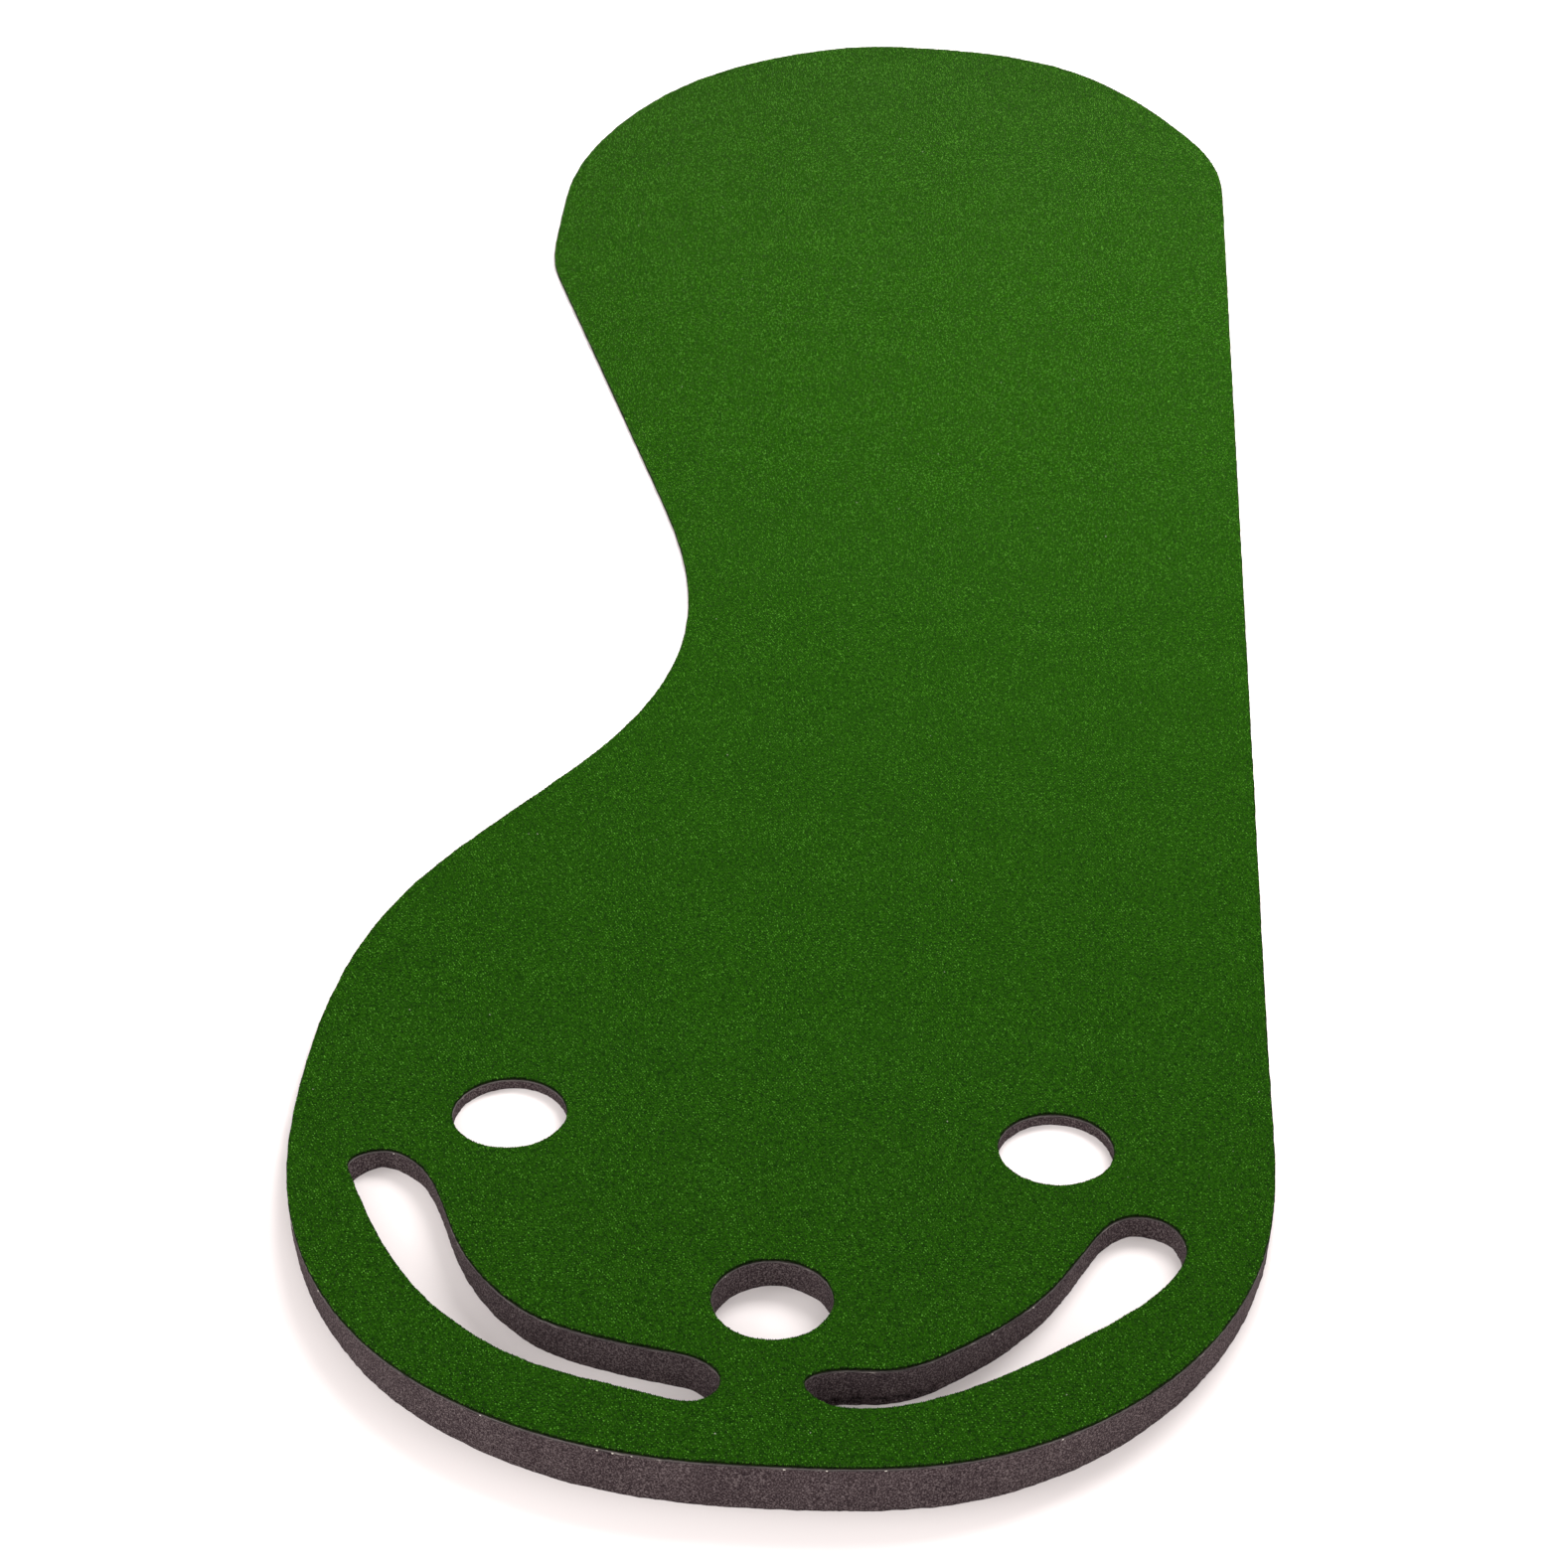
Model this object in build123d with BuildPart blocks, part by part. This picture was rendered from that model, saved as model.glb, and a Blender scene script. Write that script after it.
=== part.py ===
"""Practice putting mat: a kidney-shaped sheet of artificial turf whose cup end lies on a foam ramp.

Frame: +X to the golfer's right, +Y from the cup end to the tee end, +Z up. The origin is on the
ground at the middle of the mat's length and width. Millimetres.

The mat is a bonded stack of flat layers. From the top: cut pile, woven backing, latex underlay,
adhesive film, foam ramp. Three round cups and two curved bunkers are punched through all of them.
"""
import os

from build123d import *

# ---- driving dimensions -------------------------------------------------------------------------
LENGTH = 2743.0          # nine feet, cup end to tee end
HALF_WIDTH = 441.0       # half of the width, from the straight edge to the widest bulge

PILE = 3.5               # height of the cut pile above its backing
BACKING = 1.0            # woven cloth that the pile is tufted through
UNDERLAY = 1.5           # foamed latex under the cloth, which grips the ground
FILM = 0.4               # contact adhesive between the underlay and the ramp

RAMP_HEIGHT = 47.5       # top of the adhesive film at the cup end
RAMP_LENGTH = 600.0      # the ramp tapers to nothing this far from the cup end

CUP_RADIUS = 52.0
CUP_CENTRES = [(-244.0, 436.0), (247.0, 423.0), (12.0, 200.0)]

CLEAR = 10.0             # how far every side profile runs past the outline, to be cut off
START = -CLEAR
END = LENGTH + CLEAR

# The straight edge runs between these distances from the cup end.
STRAIGHT_START = 470.0
STRAIGHT_END = 2310.0

# The waist's straight flank, on the other side, from the tee end's bulge down to the waist.
FLANK_TOP = (-405.0, 2030.0)
FLANK_FOOT = (-230.0, 1537.0)

# ---- outlines, in plan: x from the middle, y from the cup end -------------------------------------
UP, DOWN, LEFT, RIGHT = (0, 1), (0, -1), (-1, 0), (1, 0)
FLANK = (FLANK_FOOT[0] - FLANK_TOP[0], FLANK_FOOT[1] - FLANK_TOP[1])

TEE_RIGHT = [(HALF_WIDTH, STRAIGHT_END), (428, 2412), (391, 2492), (290, 2634), (250, 2671),
             (180, 2711), (95, 2735), (-20, LENGTH)]
TEE_LEFT = [(-20, LENGTH), (-132, 2717), (-281, 2617), (-377, 2465), (-421, 2290), (-421, 2185),
            FLANK_TOP]
WAIST = [FLANK_FOOT, (-172, 1335), (-166, 1215), (-215, 1044), (-313, 893), (-404, 738),
         (-HALF_WIDTH, 530)]
CUP_LEFT = [(-HALF_WIDTH, 530), (-416, 289), (-328, 127), (-176, 28), (-10, 0)]
CUP_RIGHT = [(-10, 0), (187, 20), (338, 121), (422, 275), (HALF_WIDTH, STRAIGHT_START)]

LEFT_BUNKER = [(-376, 349), (-351, 293), (-286, 187), (-190, 110), (-71, 73), (-36, 71), (-21, 93),
               (-36, 118), (-79, 131), (-125, 141), (-183, 163), (-230, 204), (-264, 256), (-288, 314),
               (-320, 363), (-352, 374)]
RIGHT_BUNKER = [(320, 336), (348, 325), (360, 298), (347, 252), (273, 172), (187, 106), (90, 71),
                (60, 78), (45, 102), (63, 115), (118, 121), (166, 148), (242, 227), (280, 299)]


def placed(x, y):
    """A plan point in the part's frame, whose origin is at the middle of the length."""
    return (x, y - LENGTH / 2)


def curve(points, first, last):
    """A smooth edge through plan points, with its directions at both ends."""
    return Spline(*[placed(*p) for p in points], tangents=(first, last), tangent_scalars=(1, 1))


def closed_curve(points):
    """A smooth closed outline through plan points."""
    return Spline(*[placed(*p) for p in points], periodic=True)


def ramp(y):
    """Height of the top of the adhesive film at a distance from the cup end."""
    return RAMP_HEIGHT * (1 - y / RAMP_LENGTH)


def layer(name, low, high):
    """One layer of the turf, from low to high above what it lies on: the film, then the ground."""
    cut_to_plan(name, [(START, ramp(START) + low), (RAMP_LENGTH, low), (END, low),
                       (END, high), (RAMP_LENGTH, high), (START, ramp(START) + high)])


def cut_to_plan(name, profile):
    """A side profile carried across the mat, then cut to the outline, the cups and the bunkers."""
    with BuildPart() as piece:
        with BuildSketch(Plane.YZ):
            with BuildLine():
                Polyline(*[(y - LENGTH / 2, z) for y, z in profile], close=True)
            make_face()
        extrude(amount=HALF_WIDTH + CLEAR, both=True)
        with BuildSketch(Plane.XY):
            with BuildLine():
                Line(placed(HALF_WIDTH, STRAIGHT_START), placed(HALF_WIDTH, STRAIGHT_END))
                curve(TEE_RIGHT, UP, LEFT)
                curve(TEE_LEFT, LEFT, FLANK)
                Line(placed(*FLANK_TOP), placed(*FLANK_FOOT))
                curve(WAIST, FLANK, DOWN)
                curve(CUP_LEFT, DOWN, RIGHT)
                curve(CUP_RIGHT, RIGHT, UP)
            make_face()
            with Locations(*[placed(*c) for c in CUP_CENTRES]):
                Circle(CUP_RADIUS, mode=Mode.SUBTRACT)
            for bunker in (LEFT_BUNKER, RIGHT_BUNKER):
                with BuildLine():
                    closed_curve(bunker)
                make_face(mode=Mode.SUBTRACT)
        extrude(amount=RAMP_HEIGHT + 2 * CLEAR, both=True, mode=Mode.INTERSECT)
    piece.part.label = name
    export_step(piece.part, f"parts/{name}.step")


os.makedirs("parts", exist_ok=True)

# ---- foam ramp: a wedge, high at the cup end ------------------------------------------------------
foam_end = RAMP_LENGTH * (1 - FILM / RAMP_HEIGHT)        # where the foam under the film runs out
cut_to_plan("foam_ramp", [(START, 0), (foam_end, 0), (START, ramp(START) - FILM)])

# ---- adhesive film over the ramp ------------------------------------------------------------------
cut_to_plan("adhesive_film", [(START, ramp(START) - FILM), (foam_end, 0), (RAMP_LENGTH, 0),
                              (START, ramp(START))])

# ---- the turf's three layers, which bend up over the ramp -------------------------------------------
layer("latex_underlay", 0, UNDERLAY)
layer("woven_backing", UNDERLAY, UNDERLAY + BACKING)
layer("turf_pile", UNDERLAY + BACKING, UNDERLAY + BACKING + PILE)
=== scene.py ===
"""Practice putting mat: the looks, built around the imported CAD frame. Metres, Z up."""

import bpy
import numpy as np
from mathutils import Matrix, Vector, kdtree
from mathutils.geometry import delaunay_2d_cdt


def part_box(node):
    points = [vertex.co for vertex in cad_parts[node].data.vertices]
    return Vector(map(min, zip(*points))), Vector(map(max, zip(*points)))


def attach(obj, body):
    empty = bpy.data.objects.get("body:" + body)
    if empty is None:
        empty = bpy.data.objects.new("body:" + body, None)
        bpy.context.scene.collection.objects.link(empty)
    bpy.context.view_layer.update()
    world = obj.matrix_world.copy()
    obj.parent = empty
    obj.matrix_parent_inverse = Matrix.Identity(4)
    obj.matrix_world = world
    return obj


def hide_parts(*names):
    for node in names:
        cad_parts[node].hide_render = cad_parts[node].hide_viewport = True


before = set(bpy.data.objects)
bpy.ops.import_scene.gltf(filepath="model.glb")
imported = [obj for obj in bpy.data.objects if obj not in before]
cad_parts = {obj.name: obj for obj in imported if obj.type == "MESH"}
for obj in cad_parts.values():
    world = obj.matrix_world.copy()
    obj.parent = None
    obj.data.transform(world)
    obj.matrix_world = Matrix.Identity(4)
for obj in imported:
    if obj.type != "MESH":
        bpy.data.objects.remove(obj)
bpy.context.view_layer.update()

MM = 0.001
BODY = "root"

# ---- the frame's own measures ---------------------------------------------------------------------
PILE_LOW, PILE_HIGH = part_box("turf_pile")
BACKING_HIGH, UNDERLAY_HIGH, FILM_HIGH, FOAM_HIGH = (
    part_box(node)[1] for node in ("woven_backing", "latex_underlay", "adhesive_film", "foam_ramp"))

CUP_END = PILE_LOW.y                       # the raised end
RAMP_END = FILM_HIGH.y                     # where the ramp has tapered to nothing
RISE = FILM_HIGH.z                         # height of the ramp and its film at the cup end
FILM_THICK = FILM_HIGH.z - FOAM_HIGH.z
UNDERLAY_TOP = UNDERLAY_HIGH.z - RISE      # tops of the turf's layers where they lie flat
BACKING_TOP = BACKING_HIGH.z - RISE
PILE_TOP = PILE_HIGH.z - RISE
FOAM_TIP = 0.6 * MM                        # the foam stops this thick, short of a feather edge
FOAM_END = RAMP_END - (RAMP_END - CUP_END) * (FOAM_TIP + FILM_THICK) / RISE


# ---- smooth random fields -------------------------------------------------------------------------
WAVES = 24                                 # sine waves that make up one field


def field(points, wavelength, seed):
    """A smooth random height at each point, about -1 to 1, whose bumps are one wavelength apart."""
    rng = np.random.default_rng(seed)
    points = np.asarray(points, float)
    directions = rng.normal(size=(WAVES, points.shape[1]))
    directions /= np.linalg.norm(directions, axis=1)[:, None]
    turns = 2 * np.pi / (wavelength * rng.uniform(0.75, 1.35, WAVES))
    phases = rng.uniform(0, 2 * np.pi, WAVES)
    total = np.zeros(len(points))
    for direction, turn, phase in zip(directions, turns, phases):
        total += np.sin(points @ direction * turn + phase)
    return total / np.sqrt(2 * WAVES)


# ---- the plan, read from the CAD nodes --------------------------------------------------------------
def plan_loops(node, facing):
    """The closed outlines of a node's faces that face up (1) or down (-1), longest first, in plan."""
    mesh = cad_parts[node].data
    key = [tuple(np.round((v.co.x, v.co.y), 6)) for v in mesh.vertices]
    uses = {}
    for polygon in mesh.polygons:
        if polygon.normal.z * facing < 0.5:
            continue
        ring = [key[i] for i in polygon.vertices]
        for a, b in zip(ring, ring[1:] + ring[:1]):
            uses[(a, b)] = uses.get((a, b), 0) + 1
    after = {a: b for (a, b) in uses if (b, a) not in uses and a != b}
    loops = []
    while after:
        start, point = after.popitem()
        ring = [start]
        while point != start:
            ring.append(point)
            point = after.pop(point)
        loops.append(np.array(ring))
    if facing < 0:
        loops = [ring[::-1] for ring in loops]
    return sorted(loops, key=lambda ring: -perimeter(ring))


def perimeter(ring):
    return np.linalg.norm(np.roll(ring, -1, 0) - ring, axis=1).sum()


def even(ring, spacing, smooth=0.0):
    """The ring again with evenly spaced points, its facets smoothed over a short distance."""
    steps = np.linalg.norm(np.roll(ring, -1, 0) - ring, axis=1)
    along = np.concatenate([[0], np.cumsum(steps)])
    closed = np.vstack([ring, ring[:1]])
    count = max(24, int(round(along[-1] / spacing)))
    at = np.linspace(0, along[-1], count, endpoint=False)
    points = np.column_stack([np.interp(at, along, closed[:, k]) for k in range(2)])
    if smooth:
        reach = int(np.ceil(3 * smooth / spacing))
        offsets = np.arange(-reach, reach + 1)
        weights = np.exp(-0.5 * (offsets * spacing / smooth) ** 2)
        weights /= weights.sum()
        points = sum(w * np.roll(points, -k, 0) for k, w in zip(offsets, weights))
    return points


def outward(ring):
    """The plan normal at each point of a ring, pointing out of the solid."""
    run = np.roll(ring, -1, 0) - np.roll(ring, 1, 0)
    run /= np.linalg.norm(run, axis=1)[:, None]
    return np.column_stack([run[:, 1], -run[:, 0]])


# ---- heights --------------------------------------------------------------------------------------
LIFT = 0.5 * MM                            # how far the flat end stands off the ground on average
LIFT_REACH = 0.35                          # over this length past the ramp, the lift sets in
LIFT_WAVE = 0.55                           # from one high place to the next


def ramp(points):
    """Height of the top of the film, which the turf's layers lie on, and 0 past the ramp."""
    share = (RAMP_END - points[:, 1]) / (RAMP_END - CUP_END)
    return RISE * np.clip(share, 0, None)


def lift(points):
    """The flat end doesn't lie quite dead on the ground."""
    flat = np.clip((points[:, 1] - RAMP_END) / LIFT_REACH, 0, 1)
    flat = flat * flat * (3 - 2 * flat)
    return flat * LIFT * (1 + field(points, LIFT_WAVE, 11)).clip(0, 2)


# ---- meshes ---------------------------------------------------------------------------------------
FILL_JITTER = 0.22                         # of the spacing, for the points inside a cap
FILL_MARGIN = 0.6                          # of the spacing, between those points and a rim


def spread(rings, spacing, seed, jitter, margin):
    """Points of a jittered triangular grid that lie in the region, more than margin from its rims."""
    rim = np.vstack(rings)
    normals = np.vstack([outward(ring) for ring in rings])
    low, high = rim.min(0), rim.max(0)
    rows = np.arange(low[1], high[1], spacing * np.sqrt(0.75))
    across = np.arange(low[0], high[0], spacing)
    grid = np.vstack([np.column_stack([across + spacing / 2 * (i % 2), np.full(len(across), y)])
                      for i, y in enumerate(rows)])
    grid += np.random.default_rng(seed).uniform(-jitter, jitter, grid.shape) * spacing

    tree = kdtree.KDTree(len(rim))
    for i, (x, y) in enumerate(rim.tolist()):
        tree.insert((x, y, 0), i)
    tree.balance()
    near = [tree.find((x, y, 0))[1:] for x, y in grid.tolist()]
    index = np.array([n[0] for n in near])
    away = np.array([n[1] for n in near])
    inside = ((grid - rim[index]) * normals[index]).sum(1) < 0
    return grid[inside & (away > margin)]


def fill(rings, spacing, seed):
    """Plan points and triangles of the region inside the first ring and outside the others.

    The rings' own points come first, in order, and the rest are spread evenly between them.
    """
    rim = np.vstack(rings)
    points = np.vstack([rim, spread(rings, spacing, seed, FILL_JITTER, FILL_MARGIN * spacing)])

    edges = []
    ring_of = np.full(len(points), -1)
    first = 0
    for number, ring in enumerate(rings):
        ids = np.arange(first, first + len(ring))
        edges += list(zip(ids.tolist(), np.roll(ids, -1).tolist()))
        ring_of[ids] = number
        first += len(ring)
    vectors = [Vector(p) for p in points.tolist()]
    result = delaunay_2d_cdt(vectors, edges, [], 0, 1e-9)
    triangles = np.array(result[2])
    same = (ring_of[triangles] == ring_of[triangles[:, :1]]).all(1) & (ring_of[triangles[:, 0]] >= 0)
    a, b, c = (points[np.sort(triangles, 1)[:, k]] for k in range(3))
    turn = (b[:, 0] - a[:, 0]) * (c[:, 1] - a[:, 1]) - (b[:, 1] - a[:, 1]) * (c[:, 0] - a[:, 0])
    return points, triangles[~(same & (turn < 0))]


def make(name, points, groups, materials, smooth=True, shades=None):
    """A mesh object. groups are arrays of faces, each with one number of corners."""
    mesh = bpy.data.meshes.new(name)
    groups = [np.asarray(group, np.int32) for group in groups]
    corners = np.concatenate([group.ravel() for group in groups])
    sizes = np.concatenate([np.full(len(group), group.shape[1], np.int32) for group in groups])
    mesh.vertices.add(len(points))
    mesh.vertices.foreach_set("co", np.asarray(points, np.float32).ravel())
    mesh.loops.add(len(corners))
    mesh.loops.foreach_set("vertex_index", corners)
    mesh.polygons.add(len(sizes))
    starts = np.concatenate([[0], np.cumsum(sizes)[:-1]])
    mesh.polygons.foreach_set("loop_start", starts.astype(np.int32))
    for material in materials:
        mesh.materials.append(material)
    if shades is not None:
        mesh.polygons.foreach_set("material_index", np.asarray(shades, np.int32))
    mesh.update(calc_edges=True)
    mesh.validate()
    mesh.polygons.foreach_set("use_smooth", np.full(len(mesh.polygons), smooth))
    piece = bpy.data.objects.new(name, mesh)
    bpy.context.scene.collection.objects.link(piece)
    return piece


def slab(name, rings, rows, top, bottom, materials, spacing, under_spacing, seed, detail=None):
    """A closed layer: a top surface, a bottom surface and walls between them.

    rings are plan outlines. rows run from the bottom of the wall to its top: each is how far it
    stands out from the outline and what share of the wall's height it lies at. top and bottom give
    heights over plan points. The last of the materials is the walls' and the first is the rest's.
    spacing and under_spacing are the mesh's, on top and below. detail(points, share) moves wall
    points outward by its result.
    """
    rim = np.vstack(rings)
    normals = np.vstack([outward(ring) for ring in rings])
    levels = []
    for out, share in rows:
        plan = rim + normals * out
        low, high = bottom(plan), top(plan)
        if detail is not None:
            solid = np.column_stack([plan, low + (high - low) * share])
            plan = plan + normals * detail(solid, share)[:, None]
            low, high = bottom(plan), top(plan)
        levels.append(np.column_stack([plan, low + (high - low) * share]))

    count = len(rim)
    after = np.arange(count)
    first = 0
    for ring in rings:
        after[first:first + len(ring)] = first + (np.arange(len(ring)) + 1) % len(ring)
        first += len(ring)
    here = np.arange(count)
    walls = []
    for k in range(len(rows) - 1):
        low, high = k * count, (k + 1) * count
        walls.append(np.column_stack([low + here, low + after, high + after, high + here]))

    def cap(level, step, heights, cap_seed):
        edge_rings, start = [], 0
        for ring in rings:
            edge_rings.append(level[start:start + len(ring), :2])
            start += len(ring)
        plan, triangles = fill(edge_rings, step, cap_seed)
        z = heights(plan)
        z[:count] = level[:, 2]
        return np.column_stack([plan, z]), triangles

    top_points, top_faces = cap(levels[-1], spacing, top, seed)
    under_points, under_faces = cap(levels[0], under_spacing, bottom, seed + 1)
    body = np.vstack(levels)
    points = np.vstack([body, top_points[count:], under_points[count:]])
    last = (len(rows) - 1) * count
    top_ids = np.concatenate([last + here, len(body) + np.arange(len(top_points) - count)])
    offset = len(body) + len(top_points) - count
    under_ids = np.concatenate([here, offset + np.arange(len(under_points) - count)])
    walls = np.vstack(walls)
    caps = np.vstack([top_ids[top_faces], under_ids[under_faces][:, ::-1]])
    shades = np.repeat([len(materials) - 1, 0], [len(walls), len(caps)])
    return make(name, points, [walls, caps], materials, shades=shades)


def tufts(name, roots, lean, height, width, shades, materials, seed):
    """Closed three-sided spikes of pile: at each root, one that leans and ends in a point."""
    count = len(roots)
    turn = np.random.default_rng(seed).uniform(0, 2 * np.pi, count)
    flat = np.zeros(count)
    foot = [roots + np.column_stack([width * np.cos(turn + k), width * np.sin(turn + k), flat])
            for k in (0, 2 * np.pi / 3, 4 * np.pi / 3)]
    tip = roots + np.column_stack([lean, height])
    points = np.stack([*foot, tip], axis=1).reshape(-1, 3)
    sides = np.array([(0, 1, 3), (1, 2, 3), (2, 0, 3), (2, 1, 0)])
    faces = (4 * np.arange(count)[:, None, None] + sides).reshape(-1, 3)
    return make(name, points, [faces], materials, smooth=False, shades=np.repeat(shades, 4))


# ---- materials ------------------------------------------------------------------------------------
class Nodes:
    """A short way to write a material's nodes."""

    def __init__(self, name, roughness, specular=0.3):
        self.material = bpy.data.materials.new(name)
        self.material.use_nodes = True
        self.tree = self.material.node_tree
        self.shader = self.tree.nodes["Principled BSDF"]
        self.shader.inputs["Roughness"].default_value = roughness
        self.shader.inputs["Specular IOR Level"].default_value = specular

    @property
    def place(self):
        """Object coordinates."""
        return self.tree.nodes.new("ShaderNodeTexCoord").outputs["Object"]

    def add(self, kind, inputs, **settings):
        """A new node with its settings made and its inputs put in."""
        node = self.tree.nodes.new(kind)
        for key, value in settings.items():
            setattr(node, key, value)
        for socket, value in inputs.items():
            self.put(node.inputs[socket], value)
        return node

    def put(self, socket, value):
        """Links a node's output to the socket, or sets the socket to a plain value."""
        if isinstance(value, bpy.types.NodeSocket):
            self.tree.links.new(value, socket)
        else:
            socket.default_value = value

    def noise(self, size, detail=2.0, rough=0.5):
        """Noise whose blobs are about size metres across."""
        return self.add("ShaderNodeTexNoise", {
            "Vector": self.place, "Scale": 0.5 / size, "Detail": detail,
            "Roughness": rough}).outputs["Fac"]

    def cells(self, size, feature="F1"):
        """Distances from the middles of cells about size metres across."""
        return self.add("ShaderNodeTexVoronoi", {
            "Vector": self.place, "Scale": 1 / size}, feature=feature).outputs["Distance"]

    def band(self, value, stops):
        """A colour or a shade looked up along a ramp of (position, colour)."""
        ramp_node = self.add("ShaderNodeValToRGB", {"Fac": value})
        points = ramp_node.color_ramp.elements
        while len(points) < len(stops):
            points.new(0.5)
        for element, (position, colour) in zip(points, stops):
            element.position = position
            element.color = (*colour, 1) if hasattr(colour, "__len__") else (colour,) * 3 + (1,)
        return ramp_node.outputs["Color"]

    def multiply(self, share, a, b):
        """Colour a darkened by colour b, by a share."""
        node = self.add("ShaderNodeMix", {0: share, 6: a, 7: b},
                        data_type="RGBA", blend_type="MULTIPLY")
        return node.outputs[2]

    def sum(self, *terms):
        """The weighted sum of values: each term is (value, weight)."""
        total = None
        for value, weight in terms:
            scaled = self.add("ShaderNodeMath", {0: value, 1: weight}, operation="MULTIPLY")
            if total is None:
                total = scaled.outputs[0]
            else:
                total = self.add("ShaderNodeMath", {0: total, 1: scaled.outputs[0]}).outputs[0]
        return total

    def bump(self, height, distance, strength):
        node = self.add("ShaderNodeBump", {
            "Height": height, "Distance": distance, "Strength": strength})
        self.put(self.shader.inputs["Normal"], node.outputs["Normal"])

    def colour(self, value):
        self.put(self.shader.inputs["Base Color"], value)


def pile_base_material():
    """The matted foot of the pile, in the shade of the tufts above it."""
    n = Nodes("pile_base", roughness=0.95, specular=0.02)
    fibres = n.noise(1.3 * MM, 3.0)
    n.colour(n.band(fibres, [(0.35, (0.003, 0.018, 0.0005)), (0.65, (0.011, 0.052, 0.001))]))
    n.bump(fibres, 0.8 * MM, 0.8)
    return n.material


def pile_side_material():
    """The cut side of the pile, where little light gets in between the fibres."""
    n = Nodes("pile_side", roughness=0.95, specular=0.02)
    fibres = n.noise(1.0 * MM, 2.0)
    n.colour(n.band(fibres, [(0.40, (0.0015, 0.004, 0.0005)), (0.70, (0.006, 0.020, 0.001))]))
    return n.material


PAINTED_SHEEN = (0.013, 0.006, 0.008)             # painted sheen and glare, paler and greyer towards the tee end: what it adds to a tuft's colour


def tuft_materials():
    """Nylon pile: four shades of one green, the same four with painted sheen and glare added, and the
    odd pale fibre on it.
    """
    greens = {"deep": (0.0043, 0.027, 0.0005), "dark": (0.0130, 0.065, 0.0015),
              "mid": (0.0275, 0.115, 0.0033), "light": (0.0605, 0.202, 0.016)}
    shades = {f"tuft_{name}": colour for name, colour in greens.items()}
    # Copies of each green with painted sheen and glare, paler and greyer, for the tufts towards the tee
    # end.
    shades |= {f"tuft_{name}_faded": np.add(colour, PAINTED_SHEEN) for name, colour in greens.items()}
    shades["tuft_lint"] = (0.25, 0.27, 0.20)
    made = []
    for name, colour in shades.items():
        n = Nodes(name, roughness=0.9, specular=0.06)
        n.colour((*colour, 1))
        n.shader.inputs["Sheen Weight"].default_value = 0.06
        n.shader.inputs["Sheen Tint"].default_value = (1.0, 0.9, 0.6, 1)
        made.append(n.material)
    return made


def foam_material():
    """Open-cell foam: grey-brown with a purple cast, pitted, with painted shade in the pits, and finely
    speckled.
    """
    n = Nodes("foam", roughness=0.95, specular=0.08)
    cells = n.cells(1.2 * MM)
    grain = n.noise(0.75 * MM, 3.0, rough=0.6)
    blotches = n.noise(30 * MM, 2.0)
    shade = n.sum((grain, 0.92), (blotches, 0.08))
    grey = n.band(shade, [(0.34, (0.013, 0.008, 0.0095)), (0.50, (0.042, 0.0295, 0.0315)),
                          (0.66, (0.138, 0.110, 0.110))])
    # Painted shade: each cell is darkened towards its middle, the bottom of its pit.
    painted_pit_shade = n.band(cells, [(0.05, 0.60), (0.40, 1.0)])
    n.colour(n.multiply(0.8, grey, painted_pit_shade))
    n.bump(n.sum((cells, 0.5), (grain, 0.5)), 0.8 * MM, 0.6)
    return n.material


def film_material():
    """Dried contact adhesive: about as dark as the foam it wets, with pale chips where it is thick."""
    n = Nodes("film", roughness=0.6, specular=0.3)
    patches = n.noise(9 * MM, 3.0)
    n.colour(n.band(patches, [(0.40, (0.036, 0.027, 0.028)), (0.60, (0.085, 0.071, 0.068)),
                              (0.74, (0.36, 0.32, 0.29))]))
    n.bump(n.noise(1.5 * MM), 0.3 * MM, 0.5)
    return n.material


def backing_material():
    """Woven cloth, seen at its cut edge, coloured near-black."""
    n = Nodes("backing", roughness=0.9, specular=0.15)
    yarns = n.noise(1.2 * MM, 2.0)
    n.colour(n.band(yarns, [(0.35, (0.004, 0.005, 0.003)), (0.65, (0.018, 0.018, 0.010))]))
    n.bump(yarns, 0.4 * MM, 0.8)
    return n.material


def latex_material():
    """Foamed latex: grey-brown, with an embossed grid of soft dimples that grips the ground."""
    n = Nodes("latex", roughness=0.8, specular=0.25)
    dimples = n.cells(7 * MM, feature="SMOOTH_F1")
    grain = n.noise(1.0 * MM, 3.0)
    shade = n.sum((n.noise(70 * MM, 3.0), 0.6), (grain, 0.4))
    n.colour(n.band(shade, [(0.35, (0.055, 0.047, 0.045)), (0.65, (0.115, 0.102, 0.096))]))
    n.bump(n.sum((dimples, 0.8), (grain, 0.2)), 1.2 * MM, 0.7)
    return n.material


def floor_material():
    """The plain pale floor of the studio."""
    n = Nodes("studio_floor", roughness=0.9, specular=0.1)
    n.colour((0.745, 0.69, 0.68, 1))
    return n.material


# ---- camera ---------------------------------------------------------------------------------------
EYE_PLACE = (0.1854, -3.2699, 2.1269)      # where the photograph was taken from
EYE_TURN = (4.435, 36.442, 0.11)           # degrees: yaw to the left, pitch down, roll
SENSOR_WIDTH = 36.0                        # millimetres, as Blender takes them
LENS = 80.41


def camera():
    """The photograph's view."""
    data = bpy.data.cameras.new("camera")
    data.sensor_width = SENSOR_WIDTH
    data.lens = LENS
    data.clip_end = 60
    eye = bpy.data.objects.new("camera", data)
    bpy.context.scene.collection.objects.link(eye)
    yaw, pitch, roll = np.radians(EYE_TURN)
    turn = (Matrix.Rotation(yaw, 4, "Z") @ Matrix.Rotation(np.pi / 2 - pitch, 4, "X")
            @ Matrix.Rotation(-roll, 4, "Z"))
    eye.matrix_world = Matrix.Translation(EYE_PLACE) @ turn
    bpy.context.scene.camera = eye


camera()

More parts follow.
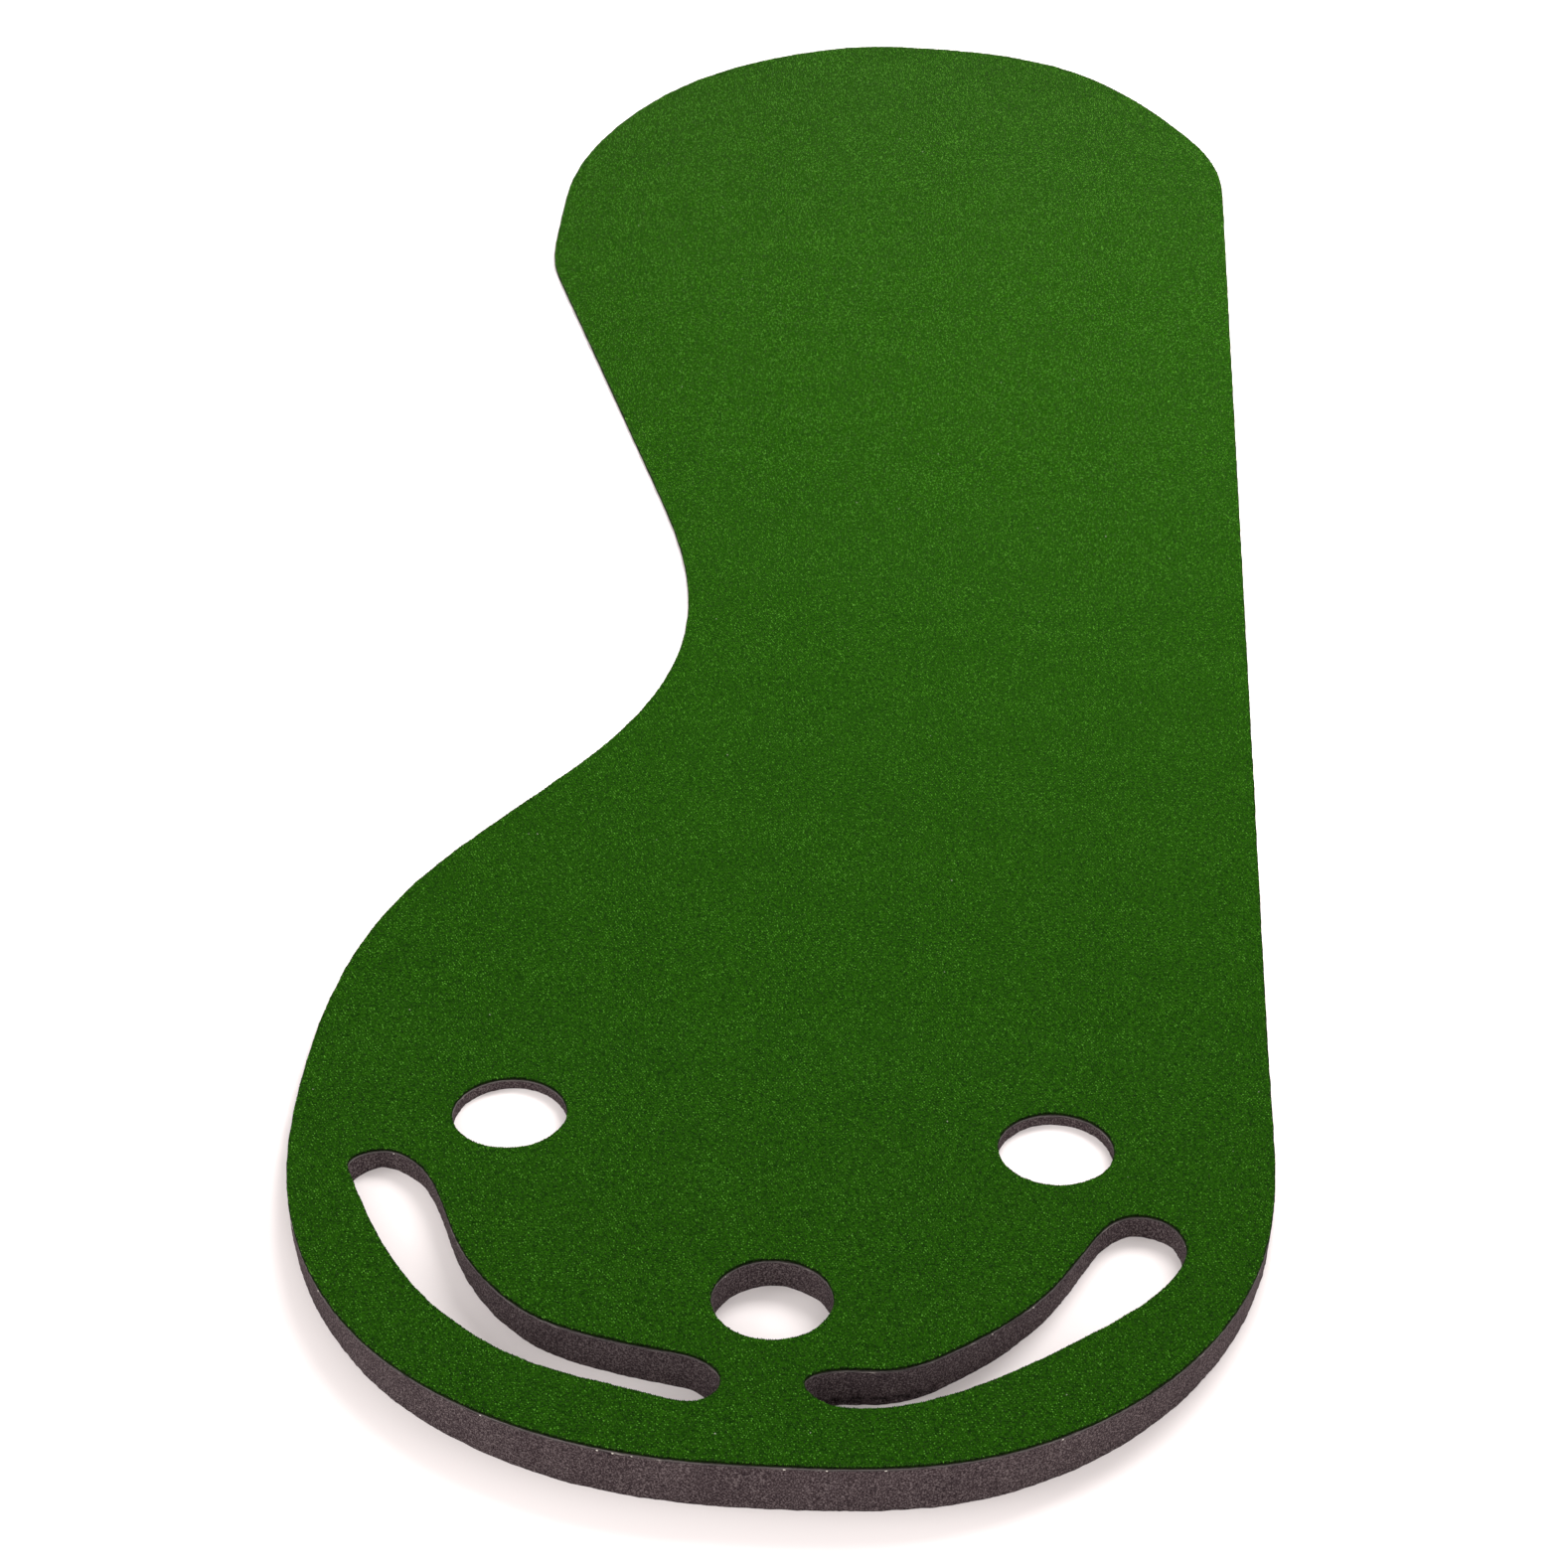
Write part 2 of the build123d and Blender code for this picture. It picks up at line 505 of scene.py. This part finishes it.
# ---- outlines for every layer -----------------------------------------------------------------------
RIM_STEP = 2.6 * MM                        # between neighbouring points of an outline
PLAN_SMOOTH = 6 * MM                       # how far the CAD mesh's facets are smoothed
RAMP_SMOOTH = 5 * MM
COARSE = 24 * MM                           # spacing of the mesh over the turf's hidden or plain faces
FOAM_COARSE = 20 * MM                      # and over those of the foam and the film

plan = [even(ring, RIM_STEP, PLAN_SMOOTH) for ring in plan_loops("turf_pile", 1)]
ramp_plan = [even(np.minimum(ring, (np.inf, FOAM_END)), RIM_STEP, RAMP_SMOOTH)
             for ring in plan_loops("foam_ramp", -1)]


def wavered(rings, amount, wavelength, seed):
    """The rings as a knife leaves them, a little off the line."""
    moved = []
    for ring in rings:
        long_wave = amount * field(ring, wavelength, seed)
        short_wave = 0.4 * amount * field(ring, wavelength / 4, seed + 1)
        moved.append(ring + outward(ring) * (long_wave + short_wave)[:, None])
    return moved


# ---- turf pile --------------------------------------------------------------------------------------
TUFT_STEP = 2.85 * MM                      # between neighbouring tufts
TUFT_JITTER = 0.26                         # of that step
TUFT_MARGIN = 1.4 * MM                     # between those and a cut edge
RIM_TUFT_STEP = 1.5 * MM                   # between the tufts along a cut edge
RIM_TUFT_INSET = (0.7 * MM, 1.2 * MM)      # from the edge to their roots, least and most
PILE_DEPTH = 1.4 * MM                      # how far the tufts stand out of the pile's matted foot
SUNK = 0.3 * MM                            # how far a tuft's root is sunk into it
TUFT_SHORTFALL = 0.55 * MM                 # the shortest tuft is this much shorter than the tallest
TUFT_WIDTH = (0.85 * MM, 1.2 * MM)         # from its middle to a corner, least and most
LEAN = (-0.35 * MM, -0.30 * MM)            # how far a tuft's tip lies off its root, on average
LEAN_SPREAD = 0.45 * MM
RIM_LEAN = (-0.1 * MM, 0.5 * MM)           # the same along a cut edge, outward, least and most
TUFT_STRIPS = 7
SHADE_STEPS = (-0.85, 0.05, 0.95)          # where, as tufts get lighter, deep turns dark, mid and light
BAND_WEIGHT = 0.18                         # of the tufting's bands in how light a tuft is
RIM_PAINTED_SHADE = 0.9                            # painted shade: how much darker those along a cut edge are made, where their outward faces catch light
PAINTED_SHEEN_FROM_TO = (-0.20, 1.25)              # no tuft has the painted sheen at the first Y, and all have it at the second
PAINTED_SHEEN_STEP = 4                             # from a green to its copy with painted sheen in tuft_materials()
LINT = 8                                   # the pale fibre's place there
LINT_SHARE = 0.00015                       # of the tufts
TUFTING = 0.2 * MM                         # how uneven the matted foot is
TURF_SPACING = 6.5 * MM                    # of the mesh over it
TURF_ROWS = [(-0.2 * MM, 0.0), (0.2 * MM, 0.5), (-0.3 * MM, 0.9), (-0.9 * MM, 1.0)]


def pile_top(points):
    """Height of the top of the matted foot, which the tufts stand out of."""
    tufting = TUFTING * field(points, 13 * MM, 21) + TUFTING * field(points, 45 * MM, 22)
    return ramp(points) + lift(points) + PILE_TOP - PILE_DEPTH + tufting


def pile_bottom(points):
    return ramp(points) + lift(points) + BACKING_TOP


pile_plan = wavered(plan, 0.35 * MM, 30 * MM, 31)
turf = slab("turf_pile_base", pile_plan, TURF_ROWS, pile_top, pile_bottom,
            [pile_base_material(), pile_side_material()], TURF_SPACING, COARSE, 41)


def pile_tufts(rings):
    """The tufts, in strips from the cup end to the tee end."""
    rng = np.random.default_rng(81)
    inner_roots = spread(rings, TUFT_STEP, 82, TUFT_JITTER, TUFT_MARGIN)
    edges = [even(ring, RIM_TUFT_STEP) for ring in rings]
    rim_out = np.vstack([outward(ring) for ring in edges])
    rim_roots = np.vstack(edges) - rim_out * rng.uniform(*RIM_TUFT_INSET, len(rim_out))[:, None]
    plan_roots = np.vstack([inner_roots, rim_roots])
    count = len(plan_roots)
    at_rim = slice(len(inner_roots), None)

    lean = rng.normal(LEAN, LEAN_SPREAD, (count, 2))
    lean[at_rim] = rim_out * rng.uniform(*RIM_LEAN, len(rim_out))[:, None]
    height = SUNK + PILE_DEPTH - rng.uniform(0, TUFT_SHORTFALL, count)
    width = rng.uniform(*TUFT_WIDTH, count)
    roots = np.column_stack([plan_roots, pile_top(plan_roots) - SUNK])

    # Bands run across the mat, because their X is squeezed.
    bands = field(plan_roots * (0.15, 1.0), 55 * MM, 83) + 0.6 * field(plan_roots, 110 * MM, 84)
    lightness = rng.normal(0, 1, count) + BAND_WEIGHT * bands
    # Painted shade: tufts along a cut edge are darkened where their outward faces catch light.
    lightness[at_rim] -= RIM_PAINTED_SHADE
    shades = np.digitize(lightness, SHADE_STEPS)
    # Painted sheen and glare: towards the tee end, more tufts take the paler, greyer copy of their
    # green.
    sheen_painted = np.interp(plan_roots[:, 1], PAINTED_SHEEN_FROM_TO, (0, 1))
    shades[rng.random(count) < sheen_painted] += PAINTED_SHEEN_STEP
    shades[rng.random(count) < LINT_SHARE] = LINT

    materials = tuft_materials()
    strips = np.array_split(np.argsort(plan_roots[:, 1]), TUFT_STRIPS)
    return [tufts(f"turf_pile_tufts_{k}", roots[ids], lean[ids], height[ids], width[ids], shades[ids],
                  materials, 90 + k) for k, ids in enumerate(strips, 1)]


tuft_pieces = pile_tufts(pile_plan)

# ---- woven backing, latex underlay, adhesive film and foam ramp ---------------------------------------
def underlay_top(points):
    return ramp(points) + lift(points) + UNDERLAY_TOP


def underlay_bottom(points):
    return ramp(points) + lift(points)


def foam_top(points):
    return ramp(points) - FILM_THICK


def ground(points):
    return np.zeros(len(points))


BACKING_ROWS = [(0, 0.0), (0.15 * MM, 0.5), (0, 1.0)]
backing = slab("woven_backing_cloth", wavered(plan, 0.25 * MM, 9 * MM, 51), BACKING_ROWS,
               pile_bottom, underlay_top, [backing_material()], COARSE, COARSE, 52)

UNDERLAY_ROWS = [(-0.2 * MM, 0.0), (0, 0.5), (-0.1 * MM, 1.0)]
underlay = slab("latex_underlay_sheet", wavered(plan, 0.2 * MM, 40 * MM, 61), UNDERLAY_ROWS,
                underlay_top, underlay_bottom, [latex_material()], COARSE, COARSE, 62)

CUT_LENGTH = 70 * MM                       # of one straight knife cut around the foam
EXTRA_CUTS = 8                             # more of them on each ring
CUT_JITTER = 0.25                          # of a cut's length, in where it ends
FACET_STOP = 0.05                          # there are none this near the foam's end
FACET_FADE = 0.1                           # and they fade out over this length before that
FACET_WEIGHT = 0.35                        # how much of them shows at the foot; none does at the top
STROKE = 0.14 * MM                         # depth of the knife's long strokes,
FINE_STROKE = 0.12 * MM                    # of its fine ones
CELL = 0.18 * MM                           # and of the torn cells
RAGGED, RAGGED_SHARE = 0.5 * MM, 0.15      # depth of the ragged foot, and its share of the height


def facets(rings):
    """How far straight knife cuts, a few centimetres each, stand off the outlines, positive outward."""
    rng = np.random.default_rng(70)
    off = []
    for ring in rings:
        count = len(ring)
        cuts = int(perimeter(ring) / CUT_LENGTH) + EXTRA_CUTS
        corners = np.sort((np.arange(cuts) + rng.uniform(-CUT_JITTER, CUT_JITTER, cuts)) * count / cuts)
        at = np.arange(count)
        straight = []
        for k in range(2):
            at_corners = np.interp(corners, at, ring[:, k], period=count)
            straight.append(np.interp(at, corners, at_corners, period=count))
        fade = np.clip((FOAM_END - FACET_STOP - ring[:, 1]) / FACET_FADE, 0, 1)
        off.append(((np.column_stack(straight) - ring) * outward(ring)).sum(1) * fade)
    return np.concatenate(off)


foam_plan = wavered(ramp_plan, 0.25 * MM, 60 * MM, 75)
foam_facets = facets(foam_plan)

# Pits are torn into the inner wall of the right bunker, a little above its foot.
PITS = (0.110, CUP_END + 0.128)            # the middle of where they lie, in plan
PITS_REACH = (0.055, 0.022)                # how far from it they lie, in X and Y
PITS_UP, PITS_HALF = 5 * MM, 3 * MM        # height of their middle, and half their own height
PIT_DEPTH = 7.0 * MM


def foam_cut(points, share):
    """Straight cuts that part from the outline towards the foot, strokes, torn cells and pits."""
    upright = points * (1, 1, 0.12)
    strokes = STROKE * field(upright, 24 * MM, 71) + FINE_STROKE * field(upright, 6 * MM, 72)
    cells = CELL * field(points, 4.2 * MM, 73)
    foot = np.clip(1 - share / RAGGED_SHARE, 0, 1)
    ragged = -RAGGED * foot * np.abs(field(points, 16 * MM, 74))
    away = np.abs(points[:, :2] - PITS) / PITS_REACH
    torn = ((away.max(1) < 1) & (field(points, 11 * MM, 79) > 0.2)
            & (np.abs(points[:, 2] - PITS_UP) < PITS_HALF))
    return (FACET_WEIGHT * (1 - share) * foam_facets + strokes + cells + ragged
            - PIT_DEPTH * torn)


def film_cut(points, share):
    """The film's torn edge, which is the same at every share of its height."""
    return 0.3 * MM * field(points, 7 * MM, 78)


FOAM_ROWS = [(-0.2 * MM, 0.0), *((0.0, share) for share in np.linspace(0.035, 0.97, 18)),
             (-0.1 * MM, 1.0)]
foam = slab("foam_ramp_block", foam_plan, FOAM_ROWS, foam_top, ground,
            [foam_material()], FOAM_COARSE, FOAM_COARSE, 76, foam_cut)

FILM_ROWS = [(0, 0.0), (0.25 * MM, 0.5), (0, 1.0)]
film = slab("adhesive_film_layer", ramp_plan, FILM_ROWS, ramp, foam_top,
            [film_material()], FOAM_COARSE, FOAM_COARSE, 77, film_cut)

SEEN_CHIPS = (0.036, 0.071)                # X of the two drops that the photograph shows
NEAR_CHIPS, OTHER_CHIPS = 5, 14            # how many more lie along the near edge, and anywhere
NEAR_REACH = 0.10                          # how far from the cup end the near edge reaches
CHIP_HALF = ((0.8, 0.35, 0.35), (1.5, 0.6, 0.6))     # mm along, out and up, least and most
CHIP_DROP = 0.3 * MM                       # from the top of the film down to a drop's middle


def film_chips(rings):
    """Drops of adhesive that dried where they were squeezed out, a third of them on the near edge."""
    rng = np.random.default_rng(101)
    rim = np.vstack(rings)
    out = np.vstack([outward(ring) for ring in rings])
    near = np.flatnonzero((rim[:, 1] < CUP_END + NEAR_REACH) & (out[:, 1] < -0.8))
    seen = [near[np.argmin(np.abs(rim[near, 0] - x))] for x in SEEN_CHIPS]
    at = np.concatenate([seen, rng.choice(near, NEAR_CHIPS), rng.choice(len(rim), OTHER_CHIPS)])
    levels, corners = 4, 8
    turn = np.arange(corners) * 2 * np.pi / corners
    points, faces = [], []
    for i in at:
        half = rng.uniform(*CHIP_HALF) * MM
        along = np.array((-out[i, 1], out[i, 0], 0))
        face = np.array((*out[i], 0))
        centre = np.array((*rim[i], ramp(rim[[i]])[0] - CHIP_DROP))
        across = np.cos(turn)[:, None] * face * half[1] + np.sin(turn)[:, None] * (0, 0, half[2])
        first = len(points)
        for level in np.linspace(-0.8, 0.8, levels):
            bulge = np.sqrt(1 - level ** 2) * rng.uniform(0.8, 1.15, corners)
            points += list(centre + along * half[0] * level + bulge[:, None] * across)
        points += [centre - along * half[0], centre + along * half[0]]
        for k in range(corners):
            after = (k + 1) % corners
            faces += [(first + r * corners + k, first + (r + 1) * corners + k,
                       first + (r + 1) * corners + after, first + r * corners + after)
                      for r in range(levels - 1)]
            end = first + levels * corners
            last = first + (levels - 1) * corners
            faces += [(end, end, first + k, first + after), (end + 1, end + 1, last + after, last + k)]
    faces = np.array(faces)
    ends = faces[:, 0] == faces[:, 1]
    n = Nodes("dried_adhesive", roughness=0.5, specular=0.4)
    n.colour((0.62, 0.57, 0.50, 1))
    return make("adhesive_film_chips", np.array(points), [faces[~ends], faces[ends][:, 1:]],
                [n.material])


chips = film_chips(ramp_plan)
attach(chips, BODY)

for piece in tuft_pieces:
    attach(piece, BODY)
for piece, node, slot in ((turf, "turf_pile", "turf"), (backing, "woven_backing", "backing"),
                          (underlay, "latex_underlay", "latex"), (film, "adhesive_film", "film"),
                          (foam, "foam_ramp", "foam")):
    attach(piece, BODY)
    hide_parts(node)


def ring_area(ring):
    x, y = ring.T
    return abs((x * np.roll(y, -1) - y * np.roll(x, -1)).sum()) / 2


cut_area = ring_area(plan[0]) - sum(ring_area(ring) for ring in plan[1:])


# ---- stage and light ----------------------------------------------------------------------------------
FLOOR_HALF = 14.0
WORLD_COLOUR = (1.0, 0.985, 0.98, 1)
WORLD_STRENGTH = 0.95
LIGHTS = {                                 # place, what it points at, width in metres, watts
    "key": ((0.8, 0.6, 2.0), (0.1, 1.3, 0), 1.8, 108),
    "left": ((-3.4, -1.8, 2.2), (0, -1.0, 0), 2.2, 80),
    "right": ((3.4, -1.8, 2.2), (0, -1.0, 0), 2.2, 40),
    "front": ((0.4, -4.4, 2.0), (0.1, -1.4, 0), 2.4, 52),
}


def area_light(name, place, target, size, power):
    data = bpy.data.lights.new(name, "AREA")
    data.shape = "DISK"
    data.size = size
    data.energy = power
    lamp = bpy.data.objects.new(name, data)
    lamp.visible_camera = False
    bpy.context.scene.collection.objects.link(lamp)
    aim = Vector(target) - Vector(place)
    lamp.matrix_world = Matrix.Translation(place) @ aim.to_track_quat("-Z", "Y").to_matrix().to_4x4()


def stage():
    points = FLOOR_HALF * np.array([(-1, -1, 0), (1, -1, 0), (1, 1, 0), (-1, 1, 0)])
    make("floor", points, [[(0, 1, 2, 3)]], [floor_material()])
    world = bpy.data.worlds.new("studio")
    world.use_nodes = True
    background = world.node_tree.nodes["Background"]
    background.inputs["Color"].default_value = WORLD_COLOUR
    background.inputs["Strength"].default_value = WORLD_STRENGTH
    bpy.context.scene.world = world
    for name, settings in LIGHTS.items():
        area_light(name, *settings)
    bpy.context.scene.view_settings.view_transform = "Standard"


stage()
